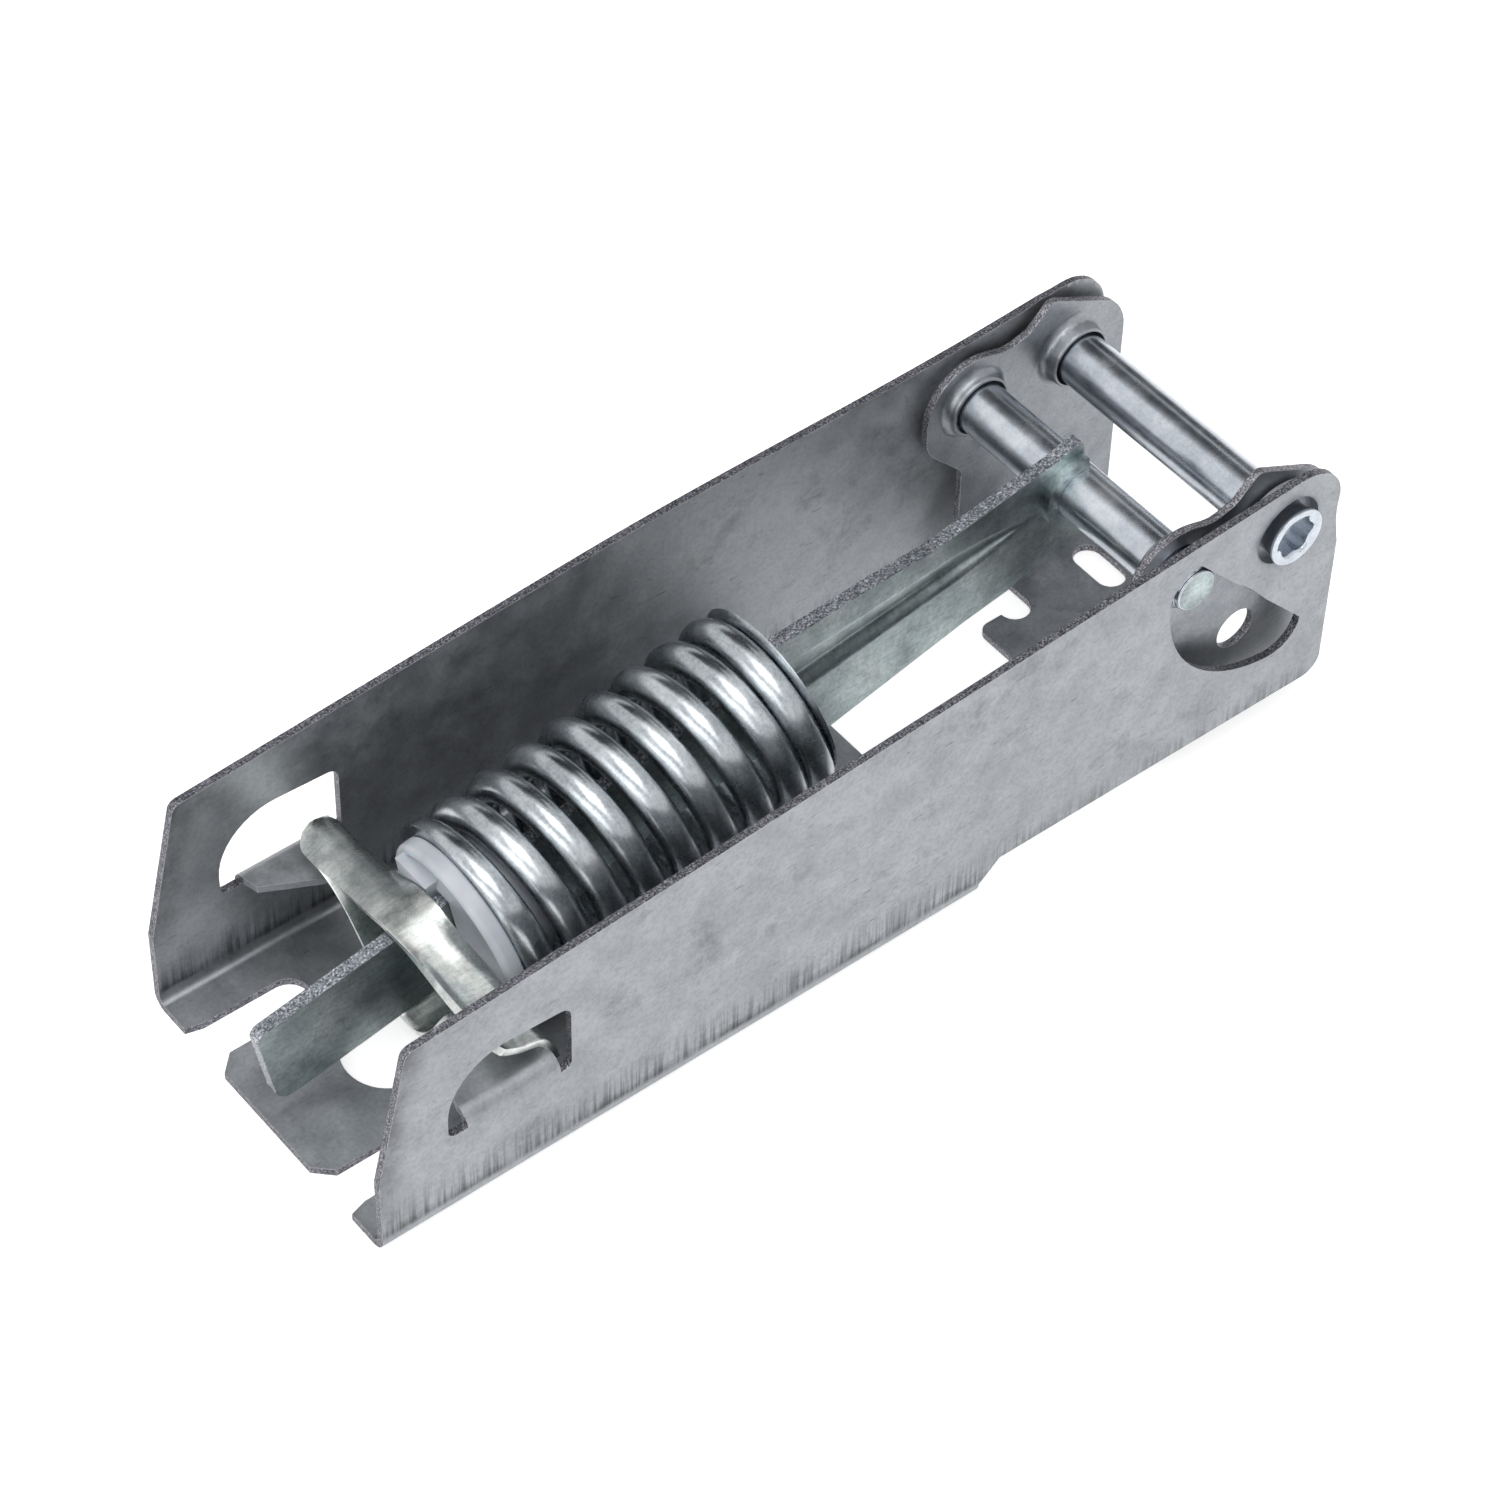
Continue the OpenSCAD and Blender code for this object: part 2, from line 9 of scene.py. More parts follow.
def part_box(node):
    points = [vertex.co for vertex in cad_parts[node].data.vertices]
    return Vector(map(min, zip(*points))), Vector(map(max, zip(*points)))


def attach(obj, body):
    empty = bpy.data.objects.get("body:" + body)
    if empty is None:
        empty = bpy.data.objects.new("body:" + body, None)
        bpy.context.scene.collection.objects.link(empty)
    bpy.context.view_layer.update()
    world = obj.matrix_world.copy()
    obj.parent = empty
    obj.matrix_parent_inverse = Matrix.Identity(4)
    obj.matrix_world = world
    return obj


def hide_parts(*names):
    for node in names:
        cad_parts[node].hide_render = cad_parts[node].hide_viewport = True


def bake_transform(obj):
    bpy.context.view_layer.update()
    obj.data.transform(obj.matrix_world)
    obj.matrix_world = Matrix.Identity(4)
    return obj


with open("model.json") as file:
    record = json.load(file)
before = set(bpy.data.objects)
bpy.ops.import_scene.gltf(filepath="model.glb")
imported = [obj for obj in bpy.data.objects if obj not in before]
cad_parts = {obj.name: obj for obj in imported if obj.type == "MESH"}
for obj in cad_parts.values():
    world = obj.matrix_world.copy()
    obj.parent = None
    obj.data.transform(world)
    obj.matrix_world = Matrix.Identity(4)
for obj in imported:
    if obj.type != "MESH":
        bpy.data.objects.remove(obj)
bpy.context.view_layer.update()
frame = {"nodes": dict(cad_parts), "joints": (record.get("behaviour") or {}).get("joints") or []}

# Counterbalance hinge of a chest freezer's lid, closed, lying on its base.
# Everything is in metres; mm turns a real size into them.
mm = 0.001
weld = 0.002 * mm        # corners nearer than this are one
touching = 0.01 * mm     # places nearer than this lie in one plane
joints = {joint["name"]: joint for joint in frame["joints"]}
print("frame loaded:", ", ".join(sorted(frame["nodes"])))


def linear(hexColour):
    # sRGB hex to the linear values that a shader wants
    parts = [int(hexColour[i:i + 2], 16) / 255 for i in (0, 2, 4)]
    return [p / 12.92 if p <= 0.04045 else ((p + 0.055) / 1.055) ** 2.4 for p in parts] + [1]


def addNode(tree, kind, inputs=None, stops=None, **settings):
    # one node: its settings, a value or a link for each named input, and a ramp's colour stops
    node = tree.nodes.new(kind)
    for key, value in settings.items():
        setattr(node, key, value)
    for key, value in (inputs or {}).items():
        socket = node.inputs[key] if isinstance(key, int) else next(
            s for s in node.inputs if s.enabled and s.name == key)
        if isinstance(value, bpy.types.Node):
            value = next(s for s in value.outputs if s.enabled)
        if isinstance(value, bpy.types.NodeSocket):
            tree.links.new(value, socket)
        else:
            socket.default_value = value
    if stops:
        points = node.color_ramp.elements
        while len(points) < len(stops):
            points.new(0.5)
        for point, (at, colour) in zip(points, stops):
            point.position = at
            point.color = linear(colour) if isinstance(colour, str) else [colour] * 3 + [1]
    return node


def newMaterial(name):
    material = bpy.data.materials.new(name)
    material.use_nodes = True
    tree = material.node_tree
    tree.nodes.clear()
    return material, tree


# Materials

# height of the fine relief on each surface, and how much rougher plate is where it is cloudy
reliefHeight = {"grit": 0.05 * mm, "tear": 0.12 * mm, "drawnMark": 0.03 * mm,
                "mouldGrain": 0.03 * mm}
cloudyRough = 0.1


def galvanisedSheet(name, look):
    # Hot-dip galvanised sheet steel, skin-passed and formed: matt grey with soft clouds of spangle,
    # fine grit, upright streaks that the bending tool left just above the bend, a painted shade line
    # along the top of the bend, small scratches, and a darker band along the sheared closed end.
    material, tree = newMaterial(name)
    place = addNode(tree, "ShaderNodeTexCoord").outputs["Object"]
    cloud = addNode(tree, "ShaderNodeTexNoise", {
        "Vector": place, "Scale": 1 / look["cloud"], "Detail": 5, "Roughness": 0.6})
    grit = addNode(tree, "ShaderNodeTexNoise", {"Vector": place, "Scale": 1 / look["grit"], "Detail": 2})
    upright = addNode(tree, "ShaderNodeMapping", {"Vector": place, "Scale": (1, 1, 0.04)})
    streak = addNode(tree, "ShaderNodeTexNoise", {
        "Vector": upright, "Scale": 1 / look["streak"], "Detail": 3})
    slanted = addNode(tree, "ShaderNodeMapping", {
        "Vector": place, "Rotation": (0, look["scratchSlant"], 0), "Scale": (0.12, 1, 1)})
    scratch = addNode(tree, "ShaderNodeTexNoise", {
        "Vector": slanted, "Scale": 1 / look["scratch"], "Detail": 3})
    rub = addNode(tree, "ShaderNodeTexNoise", {
        "Vector": place, "Scale": 1 / look["rub"], "Detail": 6, "Roughness": 0.7})
    colour = addNode(tree, "ShaderNodeValToRGB", {"Fac": cloud},
                     [(0.33, look["dark"]), (0.67, look["light"])])
    height = addNode(tree, "ShaderNodeSeparateXYZ", {"Vector": place}).outputs["Z"]
    low = addNode(tree, "ShaderNodeMapRange", {"Value": height, "From Max": look["streakTop"]})
    drag = addNode(tree, "ShaderNodeValToRGB", {"Fac": low},
                   [(0.26, 0.0), (0.36, look["streaks"]), (1.0, 0.0)])
    # painted shade: a dark line along the top of the bend, broken up by the rubbed patches
    band = addNode(tree, "ShaderNodeValToRGB", {"Fac": low},
                   [(0.26, 0.0), (0.34, look["bendShade"]), (0.5, 0.0)])
    # darker towards the sheared closed end, broken up by the rubbed patches
    toEnd = addNode(tree, "ShaderNodeVectorMath", {0: place, 1: look["endSlope"]}, operation="DOT_PRODUCT")
    closedEndDark = addNode(tree, "ShaderNodeMapRange", {
        "Value": toEnd.outputs["Value"], "From Min": look["endAt"] + look["endDarkeningReach"],
        "From Max": look["endAt"], "To Max": look["endDarkening"]})
    patchy = addNode(tree, "ShaderNodeValToRGB", {"Fac": rub}, [(0.42, 0.35), (0.62, 0.9)])
    marks = [
        (1, addNode(tree, "ShaderNodeValToRGB", {"Fac": grit}, [(0.3, look["gritDark"]), (0.6, 1.0)])),
        (drag, addNode(tree, "ShaderNodeValToRGB", {"Fac": streak}, [(0.44, 1.0), (0.62, 0.36)])),
        (band, patchy), (closedEndDark, patchy),
        (1, addNode(tree, "ShaderNodeValToRGB", {"Fac": scratch},
                    [(0.69, 1.0), (0.73, look["scratchDark"])])),
        (1, addNode(tree, "ShaderNodeValToRGB", {"Fac": rub}, [(0.56, 1.0), (0.75, look["rubDark"])]))]
    for share, mark in marks:
        colour = addNode(tree, "ShaderNodeMix", {"Factor": share, "A": colour, "B": mark},
                         data_type="RGBA", blend_type="MULTIPLY")
    rough = addNode(tree, "ShaderNodeMapRange", {
        "Value": cloud, "From Min": 0.3, "From Max": 0.7, "To Min": look["smoothest"],
        "To Max": look["roughest"]})
    bumps = addNode(tree, "ShaderNodeBump", {
        "Height": grit, "Strength": look["bump"], "Distance": reliefHeight["grit"]})
    metal = addNode(tree, "ShaderNodeBsdfPrincipled", {
        "Base Color": colour, "Metallic": look["metal"], "Roughness": rough, "Normal": bumps})
    addNode(tree, "ShaderNodeOutputMaterial", {"Surface": metal})
    return material


def shearedEdge(name, look):
    # Sheared edge of zinc-coated sheet: torn grain that glitters dark and bright along the cut.
    # The real grain is finer than the render shows, so it is drawn at 0.3 to 0.5 mm.
    material, tree = newMaterial(name)
    place = addNode(tree, "ShaderNodeTexCoord").outputs["Object"]
    torn = addNode(tree, "ShaderNodeTexNoise", {
        "Vector": place, "Scale": 1 / look["grain"], "Detail": 3, "Roughness": 0.75})
    patch = addNode(tree, "ShaderNodeTexNoise", {"Vector": place, "Scale": 1 / look["patch"], "Detail": 2})
    colour = addNode(tree, "ShaderNodeValToRGB", {"Fac": torn},
                     [(0.38, look["dark"]), (0.52, look["middle"]), (0.68, look["light"])])
    shade = addNode(tree, "ShaderNodeValToRGB", {"Fac": patch}, [(0.35, 0.75), (0.65, 1.0)])
    colour = addNode(tree, "ShaderNodeMix", {"Factor": 1, "A": colour, "B": shade},
                     data_type="RGBA", blend_type="MULTIPLY")
    bumps = addNode(tree, "ShaderNodeBump", {
        "Height": torn, "Strength": 0.8, "Distance": reliefHeight["tear"]})
    metal = addNode(tree, "ShaderNodeBsdfPrincipled", {
        "Base Color": colour, "Metallic": 0.9, "Roughness": look["rough"], "Normal": bumps})
    addNode(tree, "ShaderNodeOutputMaterial", {"Surface": metal})
    return material


def zincPlate(name, look):
    # Zinc electroplate with a thin blue passivation: bright metal, clouds and blots of stain, fine
    # marks that run the way the piece was drawn or rolled.
    material, tree = newMaterial(name)
    place = addNode(tree, "ShaderNodeTexCoord").outputs["Object"]
    cloud = addNode(tree, "ShaderNodeTexNoise", {
        "Vector": place, "Scale": 1 / look["cloud"], "Detail": 5, "Roughness": 0.6})
    blot = addNode(tree, "ShaderNodeTexNoise", {
        "Vector": place, "Scale": 1 / look["blot"], "Detail": 5, "Roughness": 0.7})
    grit = addNode(tree, "ShaderNodeTexNoise", {"Vector": place, "Scale": 1 / look["grit"], "Detail": 2})
    drawn = addNode(tree, "ShaderNodeMapping", {"Vector": place, "Scale": look["across"]})
    mark = addNode(tree, "ShaderNodeTexNoise", {"Vector": drawn, "Scale": 1 / look["mark"], "Detail": 2})
    colour = addNode(tree, "ShaderNodeValToRGB", {"Fac": cloud},
                     [(0.3, look["dark"]), (0.52, look["middle"]), (0.72, look["light"])])
    marks = [
        addNode(tree, "ShaderNodeValToRGB", {"Fac": blot}, [(0.36, look["blotDark"]), (0.6, 1.0)]),
        addNode(tree, "ShaderNodeValToRGB", {"Fac": grit}, [(0.32, look["gritDark"]), (0.58, 1.0)]),
        addNode(tree, "ShaderNodeValToRGB", {"Fac": mark}, [(0.36, look["markDark"]), (0.56, 1.0)])]
    for shade in marks:
        colour = addNode(tree, "ShaderNodeMix", {"Factor": 1, "A": colour, "B": shade},
                         data_type="RGBA", blend_type="MULTIPLY")
    rough = addNode(tree, "ShaderNodeMapRange", {
        "Value": cloud, "From Min": 0.3, "From Max": 0.7, "To Min": look["rough"],
        "To Max": look["rough"] + cloudyRough})
    bumps = addNode(tree, "ShaderNodeBump", {
        "Height": mark, "Strength": look["bump"], "Distance": reliefHeight["drawnMark"]})
    metal = addNode(tree, "ShaderNodeBsdfPrincipled", {
        "Base Color": colour, "Metallic": 1, "Roughness": rough, "Normal": bumps})
    addNode(tree, "ShaderNodeOutputMaterial", {"Surface": metal})
    return material


def mouldedNylon(name, look):
    # Injection-moulded natural nylon: milky, bluish white, satin, with a faint mould grain.
    material, tree = newMaterial(name)
    place = addNode(tree, "ShaderNodeTexCoord").outputs["Object"]
    cloud = addNode(tree, "ShaderNodeTexNoise", {"Vector": place, "Scale": 1 / look["cloud"], "Detail": 3})
    grain = addNode(tree, "ShaderNodeTexNoise", {"Vector": place, "Scale": 1 / look["grain"], "Detail": 2})
    colour = addNode(tree, "ShaderNodeValToRGB", {"Fac": cloud},
                     [(0.3, look["dark"]), (0.7, look["light"])])
    bumps = addNode(tree, "ShaderNodeBump", {
        "Height": grain, "Strength": 0.12, "Distance": reliefHeight["mouldGrain"]})
    nylon = addNode(tree, "ShaderNodeBsdfPrincipled", {
        "Base Color": colour, "Roughness": 0.4, "IOR": 1.53, "Subsurface Weight": 0.2,
        "Subsurface Scale": 2 * mm, "Normal": bumps})
    addNode(tree, "ShaderNodeOutputMaterial", {"Surface": nylon})
    return material


housingSteel = galvanisedSheet("galvanisedSheet", {
    "dark": "93969A", "light": "ABAEB2", "cloud": 6 * mm, "grit": 0.6 * mm, "gritDark": 0.86,
    "streak": 0.5 * mm, "streakTop": 9.5 * mm, "streaks": 0.9, "bendShade": 0.95, "scratch": 0.35 * mm,
    "scratchSlant": radians(38), "scratchDark": 0.55, "rub": 9 * mm, "rubDark": 0.62,
    "endSlope": (1, 0, -0.221), "endAt": -22.5 * mm, "endDarkeningReach": 4 * mm, "endDarkening": 0.9,
    "smoothest": 0.4, "roughest": 0.54, "metal": 0.9, "bump": 0.25})
bracketSteel = galvanisedSheet("galvanisedSheetBracket", {
    "dark": "878B90", "light": "A3A6AA", "cloud": 5 * mm, "grit": 0.5 * mm, "gritDark": 0.86,
    "streak": 0.45 * mm, "streakTop": 6 * mm, "streaks": 0.2, "bendShade": 0.1, "scratch": 0.35 * mm,
    "scratchSlant": radians(38), "scratchDark": 0.7, "rub": 7 * mm, "rubDark": 0.7,
    "endSlope": (1, 0, 0), "endAt": 0, "endDarkeningReach": 4 * mm, "endDarkening": 0,
    "smoothest": 0.34, "roughest": 0.48, "metal": 0.95, "bump": 0.2})
housingEdge = shearedEdge("shearedGalvanisedEdge", {
    "dark": "3B3C42", "middle": "72727A", "light": "BDBDC3", "grain": 0.28 * mm, "patch": 2.6 * mm,
    "rough": 0.45})
# near-white arris faces of the housing: a painted highlight along its broken edges
arrisHighlightZinc = shearedEdge("paintedHighlightArris", {
    "dark": "C4C5C9", "middle": "EDEEF0", "light": "FFFFFF", "grain": 0.5 * mm, "patch": 5 * mm,
    "rough": 0.35})
bracketEdge = shearedEdge("shearedBracketEdge", {
    "dark": "4B4A51", "middle": "84838A", "light": "D5D5DA", "grain": 0.26 * mm, "patch": 2.2 * mm,
    "rough": 0.4})
strutEdge = shearedEdge("shearedZincEdge", {
    "dark": "555A62", "middle": "979CA4", "light": "F1F3F6", "grain": 0.34 * mm, "patch": 3 * mm,
    "rough": 0.35})
strutZinc = zincPlate("bluePassivatedZinc", {
    "dark": "8E9B9E", "middle": "B9C5C6", "light": "DDE5E5", "cloud": 11 * mm, "blot": 3.2 * mm,
    "blotDark": 0.74, "grit": 0.55 * mm, "gritDark": 0.8, "mark": 0.5 * mm, "across": (0.12, 1, 1),
    "markDark": 0.88, "rough": 0.33, "bump": 0.15})
springZinc = zincPlate("zincSpringWire", {
    "dark": "A3AAAE", "middle": "BEC4C8", "light": "DDE1E4", "cloud": 8 * mm, "blot": 2.6 * mm,
    "blotDark": 0.84, "grit": 0.5 * mm, "gritDark": 0.86, "mark": 0.3 * mm, "across": (1, 0.14, 0.14),
    "markDark": 0.9, "rough": 0.23, "bump": 0.08})
pinZinc = zincPlate("drawnZincPin", {
    "dark": "B4BBC3", "middle": "CBD1D9", "light": "E4E8ED", "cloud": 7 * mm, "blot": 2.4 * mm,
    "blotDark": 0.9, "grit": 0.45 * mm, "gritDark": 0.93, "mark": 0.5 * mm, "across": (1, 0.05, 1),
    "markDark": 0.97, "rough": 0.2, "bump": 0.02})
saddleZinc = zincPlate("pressedZincStrip", {
    "dark": "B7BEBD", "middle": "DADEDB", "light": "F4F5F1", "cloud": 5 * mm, "blot": 2.2 * mm,
    "blotDark": 0.84, "grit": 0.5 * mm, "gritDark": 0.86, "mark": 0.32 * mm, "across": (0.11, 1, 0.11),
    "markDark": 0.88, "rough": 0.22, "bump": 0.2})
seatNylon = mouldedNylon("mouldedNylon", {
    "dark": "B2B7BF", "light": "C5CAD1", "cloud": 5 * mm, "grain": 0.35 * mm})
print("materials made")


# Shaping and placing a piece

def pieceFrom(bm, name, materials):
    mesh = bpy.data.meshes.new(name)
    bm.to_mesh(mesh)
    bm.free()
    for material in materials:
        mesh.materials.append(material)
    for polygon in mesh.polygons:
        polygon.use_smooth = True
    piece = bpy.data.objects.new(name, mesh)
    bpy.context.scene.collection.objects.link(piece)
    return piece


def standFor(piece, node, body):
    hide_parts(node)
    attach(piece, body)


def evenNormals(piece):
    even = piece.modifiers.new("evenNormals", "WEIGHTED_NORMAL")
    even.weight = 80      # the larger faces lead, so that flats stay flat
    even.keep_sharp = True


def smooth(value, start, end):
    # 0 before start, 1 after end, an even S between
    t = min(max((value - start) / (end - start), 0), 1)
    return t * t * (3 - 2 * t)


def breakArrises(bm, look, material=-1):
    sharp = [e for e in bm.edges if len(e.link_faces) == 2 and e.calc_face_angle(0) > look["sharpAngle"]]
    bmesh.ops.bevel(bm, geom=sharp, offset=look["arris"], segments=look["arrisSteps"], profile=0.5,
                    affect="EDGES", material=material, clamp_overlap=True)


def cadCopy(node, look):
    # a merged copy of a CAD node with its flat faces whole
    bm = bmesh.new()
    bm.from_mesh(frame["nodes"][node].data)
    bmesh.ops.remove_doubles(bm, verts=bm.verts, dist=weld)
    bmesh.ops.dissolve_limit(bm, angle_limit=look["flatAngle"], verts=bm.verts, edges=bm.edges)
    return bm


def markEdges(bm, isEdge):
    # the cut edges take the piece's second material
    for face in bm.faces:
        face.material_index = 1 if isEdge(face.calc_center_median(), face.normal) else 0


def cutAcross(bm, faces, places, normal):
    # evenly spaced cuts through some faces, so that they can bend
    marked = bm.faces.layers.int.get("cut") or bm.faces.layers.int.new("cut")
    for face in bm.faces:
        face[marked] = 1 if faces(face) else 0
    for place in places:
        chosen = [f for f in bm.faces if f[marked]]
        geom = chosen + list({e for f in chosen for e in f.edges})
        geom += list({v for f in chosen for v in f.verts})
        bmesh.ops.bisect_plane(bm, geom=geom, dist=weld, plane_co=place, plane_no=normal)


print("helpers ready")

# Housing: the bent channel, with its cut edges in a finish of their own. On the photographed hinge the
# far wall leans in towards the bracket at its top and pivot end.
housingLook = {"arris": 0.15 * mm, "arrisSteps": 1, "sharpAngle": radians(35), "flatAngle": radians(0.6),
               "halfWidth": 26 * mm, "sheet": 1.2 * mm, "bendTop": 2.4 * mm,
               "lean": 2.3 * mm, "leanFrom": 50 * mm, "leanTo": 122 * mm, "leanFoot": 3 * mm,
               "leanTop": 34 * mm,
               "cutStep": 5 * mm, "cutFrom": 30 * mm, "cutTo": 140 * mm, "cutTop": 45 * mm,
               "cupFloor": 4.2 * mm, "cupKeep": 7.5 * mm, "cupBlend": 5 * mm, "cupNarrow": 0.62,
               "cupMouth": 6.4 * mm, "dishEdge": 10.5 * mm, "pinHole": 4.05 * mm,
               # how far a face may turn or lie off and still count as a cut edge
               "baseSlack": 1.05, "wallSlack": 1.02, "baseTurn": 0.3, "wallTurn": 0.3, "endOn": 0.7}
pivotAt = Vector(joints["lid_open"]["pos_m"])


def isHousingEdge(centre, normal):
    look = housingLook
    across = abs(centre.y)
    if centre.z < look["sheet"] * look["baseSlack"] and across < look["halfWidth"] - look["bendTop"]:
        return abs(normal.z) < look["baseTurn"]
    if centre.z < look["bendTop"]:
        return abs(normal.x) > look["endOn"]
    inWall = across > look["halfWidth"] - look["sheet"] * look["wallSlack"]
    return inWall and abs(normal.y) < look["wallTurn"]


def leanAt(x, z):
    # how far the far wall stands in at this place
    look = housingLook
    onward = smooth(x, look["leanFrom"], look["leanTo"])
    return look["lean"] * onward * smooth(z, look["leanFoot"], look["leanTop"])


def narrowCup(vert):
    # the pressed cup is hardly wider than the rivet's head
    look = housingLook
    out = Vector((vert.co.x - pivotAt.x, 0, vert.co.z - pivotAt.z))
    reach = out.length
    if not look["pinHole"] < reach < look["dishEdge"]:
        return
    if reach <= look["cupMouth"]:
        closer = look["pinHole"] + (reach - look["pinHole"]) * look["cupNarrow"]
    else:
        mouth = look["pinHole"] + (look["cupMouth"] - look["pinHole"]) * look["cupNarrow"]
        share = (reach - look["cupMouth"]) / (look["dishEdge"] - look["cupMouth"])
        closer = mouth + share * (look["dishEdge"] - mouth)
    vert.co += out * (closer / reach - 1)


def makeHousing():
    look = housingLook
    bm = cadCopy("housing", look)
    wall = look["halfWidth"] - look["cupFloor"] - look["sheet"]
    for vert in bm.verts:
        if abs(vert.co.y) > wall:
            narrowCup(vert)
    markEdges(bm, isHousingEdge)
    # the broken arrises take the third material, a near-white painted highlight
    breakArrises(bm, look, material=2)

    def isFarWall(face):
        return min(v.co.y for v in face.verts) > wall and max(v.co.z for v in face.verts) > look["leanFoot"]

    step = look["cutStep"]
    columns = range(round(look["cutFrom"] / step), round(look["cutTo"] / step) + 1)
    rows = range(1, round(look["cutTop"] / step) + 1)
    cutAcross(bm, isFarWall, [(i * step, 0, 0) for i in columns], (1, 0, 0))
    cutAcross(bm, isFarWall, [(0, 0, i * step) for i in rows], (0, 0, 1))
    for vert in bm.verts:
        if vert.co.y > wall:
            lean = leanAt(vert.co.x, vert.co.z)
            reach = Vector((vert.co.x - pivotAt.x, vert.co.z - pivotAt.z)).length
            free = smooth(reach, look["cupKeep"], look["cupKeep"] + look["cupBlend"])
            raised = (vert.co.y - look["halfWidth"] + look["cupFloor"]) / look["cupFloor"]
            vert.co.y -= lean * (free + (1 - free) * raised)
    piece = pieceFrom(bm, "housing_sheet", [housingSteel, housingEdge, arrisHighlightZinc])
    evenNormals(piece)
    standFor(piece, "housing", "housing")


makeHousing()
print("housing made")

# Lid bracket: its collars are drawn a little way towards each other round the pins
bracketLook = {"arris": 0.14 * mm, "arrisSteps": 2, "sharpAngle": radians(35), "flatAngle": radians(0.6),
               "inner": 20.5 * mm, "sheet": 1.2 * mm, "rim": 4.9 * mm, "root": 7.2 * mm, "bore": 4.2 * mm,
               "slim": 0.55, "pivotCollar": 0.46, "strutCollar": 0.52, "opened": 0.35 * mm,
               "baseSlack": 1.05, "sideSlack": 0.999, "baseTurn": 0.3, "sideTurn": 0.25}
pinAt = Vector(joints["strut_swing"]["pos_m"])


def isBracketEdge(centre, normal):
    look = bracketLook
    if centre.z < look["sheet"] * look["baseSlack"]:
        return abs(normal.z) < look["baseTurn"]
    return abs(centre.y) > look["inner"] * look["sideSlack"] and abs(normal.y) < look["sideTurn"]


def lowerCollar(bm, middle, share):
    # a collar that is slimmer than the solid's, opens at its mouth and keeps only this share of its height
    look = bracketLook
    for vert in bm.verts:
        out = Vector((vert.co.x - middle.x, 0, vert.co.z - middle.z))
        depth = look["inner"] - abs(vert.co.y)
        if out.length > look["root"] or depth < -0.5 * look["sheet"]:
            continue
        if out.length > look["rim"]:
            vert.co += out * ((look["rim"] + (out.length - look["rim"]) * look["slim"]) / out.length - 1)
        if depth > 0:
            if out.length < look["bore"]:
                vert.co += out.normalized() * look["opened"] * smooth(depth, 0, look["sheet"])
            vert.co.y += (1 if vert.co.y > 0 else -1) * depth * (1 - share)


def makeBracket():
    bm = cadCopy("lid_bracket", bracketLook)
    lowerCollar(bm, pivotAt, bracketLook["pivotCollar"])
    lowerCollar(bm, pinAt, bracketLook["strutCollar"])
    markEdges(bm, isBracketEdge)
    breakArrises(bm, bracketLook)
    piece = pieceFrom(bm, "lid_bracket_sheet", [bracketSteel, bracketEdge])
    evenNormals(piece)
    standFor(piece, "lid_bracket", "lid")


makeBracket()
print("lid bracket made")

# Pivot pin: a steel rivet whose flared ends are punched with a six-lobed recess
pivotPinLook = {"radius": 4 * mm, "proud": 0.5 * mm, "halfWidth": 26 * mm, "flare": 0.55 * mm,
                "rim": 0.5 * mm, "cone": 1.8 * mm, "mouth": 3.6 * mm, "lobe": 3.05 * mm, "lobes": 6,
                "lobeDepth": 0.24 * mm, "mouthDrop": 0.35 * mm, "recess": 3.2 * mm, "sides": 72,
                "arris": 0.12 * mm, "arrisSteps": 2, "sharpAngle": radians(35)}


def drawInFarEnd(bm, middle):
    # a pin's far end follows the leaning wall
    for vert in bm.verts:
        if vert.co.y > bracketLook["inner"]:
            vert.co.y -= leanAt(middle.x, middle.z)


def makePivotPin():
    look = pivotPinLook
    low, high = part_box("pivot_pin")
    middle = (low + high) / 2
    half = look["halfWidth"] + look["proud"]
    bm = bmesh.new()
    outline = [(look["mouth"], half), (look["radius"] + look["flare"], half),
               (look["radius"] + look["flare"], half - look["rim"]), (look["radius"], half - look["cone"])]
    outline += [(r, -y) for r, y in reversed(outline)]
    ends = [bm.verts.new((r, y, 0)) for r, y in outline]
    for first, second in zip(ends, ends[1:]):
        bm.edges.new((first, second))
    bmesh.ops.spin(bm, geom=bm.verts[:] + bm.edges[:], cent=(0, 0, 0), axis=(0, 1, 0), dvec=(0, 0, 0),
                   angle=2 * pi, steps=look["sides"], use_merge=True, use_duplicate=False)
    for side in (-1, 1):
        rim = [e for e in bm.edges if e.is_boundary and e.verts[0].co.y * side > 0]
        lobed = bmesh.ops.extrude_edge_only(bm, edges=rim)["geom"]
        for vert in (v for v in lobed if isinstance(v, bmesh.types.BMVert)):
            angle = atan2(vert.co.z, vert.co.x)
            reach = look["lobe"] + look["lobeDepth"] * cos(look["lobes"] * angle)
            vert.co = (reach * cos(angle), (half - look["mouthDrop"]) * side, reach * sin(angle))
        deep = bmesh.ops.extrude_edge_only(
            bm, edges=[e for e in lobed if isinstance(e, bmesh.types.BMEdge) and e.is_boundary])["geom"]
        for vert in (v for v in deep if isinstance(v, bmesh.types.BMVert)):
            vert.co.y -= look["recess"] * side
        floor = [e for e in deep if isinstance(e, bmesh.types.BMEdge) and e.is_boundary]
        bmesh.ops.holes_fill(bm, edges=floor, sides=0)
    bmesh.ops.recalc_face_normals(bm, faces=bm.faces)
    bmesh.ops.translate(bm, verts=bm.verts, vec=middle)
    drawInFarEnd(bm, pivotAt)
    breakArrises(bm, look)
    piece = pieceFrom(bm, "pivot_rivet", [pinZinc])
    evenNormals(piece)
    standFor(piece, "pivot_pin", "housing")


makePivotPin()

# Strut pin, whose cut end faces have the strut's duller zinc
strutPinLook = {"arris": 0.2 * mm, "arrisSteps": 3, "sharpAngle": radians(35), "flatAngle": radians(0.6),
                "endFace": 25 * mm, "endOn": 0.9}


